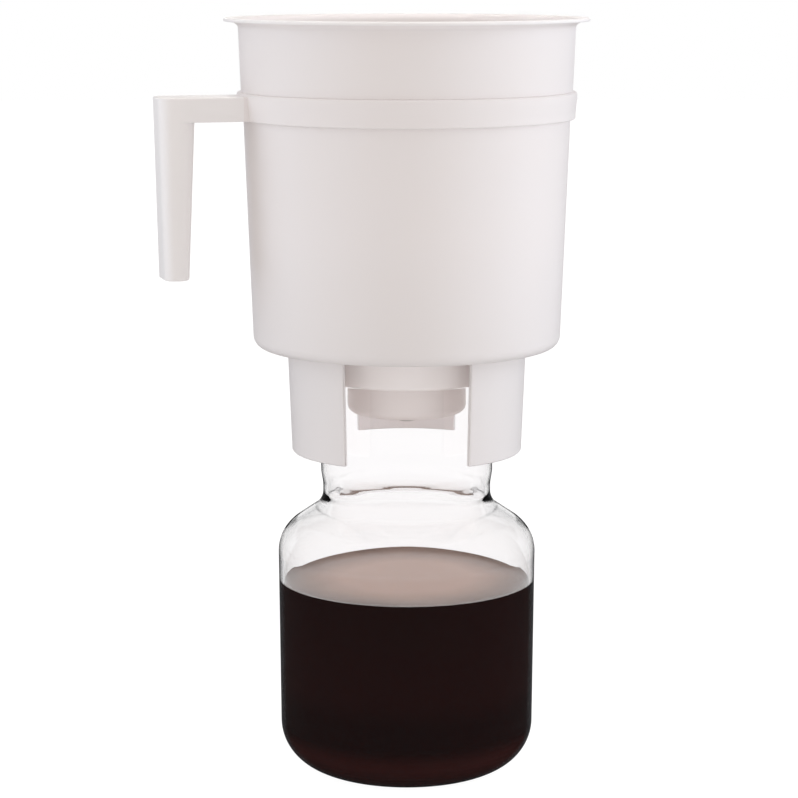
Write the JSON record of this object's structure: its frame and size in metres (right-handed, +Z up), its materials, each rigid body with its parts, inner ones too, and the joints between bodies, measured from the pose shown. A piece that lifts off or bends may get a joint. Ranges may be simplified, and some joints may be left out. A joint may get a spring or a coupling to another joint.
{
  "type": "cold brew coffee maker",
  "caption": "Immersion cold brew coffee maker: tapered white brewing container with a slip-on collar handle, felt filter and drain stopper, standing on a clear glass decanter.",
  "frame": {"origin": "middle of the decanter's flat foot, on the surface it stands on", "axes": "+Z up along the axis of the decanter and the container; -Y towards the front, through the middle of one window of the skirt; +X to the right seen from the front, so the handle points to -X, turned 15.5 degrees towards the front"},
  "size_m": [0.2086, 0.1764, 0.3716],
  "materials": {
    "white_plastic": "satin moulded polypropylene",
    "clear_glass": "clear polished glass",
    "brewed_coffee": "dark still liquid",
    "wool_felt": "pressed felt",
    "grey_rubber": "matte rubber"
  },
  "bodies": {
    "decanter_body": {"decanter": "clear_glass", "coffee": "brewed_coffee"},
    "brewer_body": {"brewing_container": "white_plastic"},
    "handle_body": {"handle": "white_plastic"},
    "filter_body": {"felt_filter": "wool_felt"},
    "stopper_body": {"stopper": "grey_rubber"}
  },
  "joints": [
    {"name": "brewer_lift", "type": "slide", "parent": "decanter_body", "child": "brewer_body", "axis": [0, 0, 1], "range_m": [0, 0.12]},
    {"name": "handle_slide", "type": "slide", "parent": "brewer_body", "child": "handle_body", "axis": [0, 0, -1], "range_m": [0, 0.18]},
    {"name": "filter_lift", "type": "slide", "parent": "brewer_body", "child": "filter_body", "axis": [0, 0, 1], "range_m": [0, 0.18]},
    {"name": "stopper_pull", "type": "slide", "parent": "brewer_body", "child": "stopper_body", "axis": [0, 0, -1], "range_m": [0, 0.04]}
  ]
}
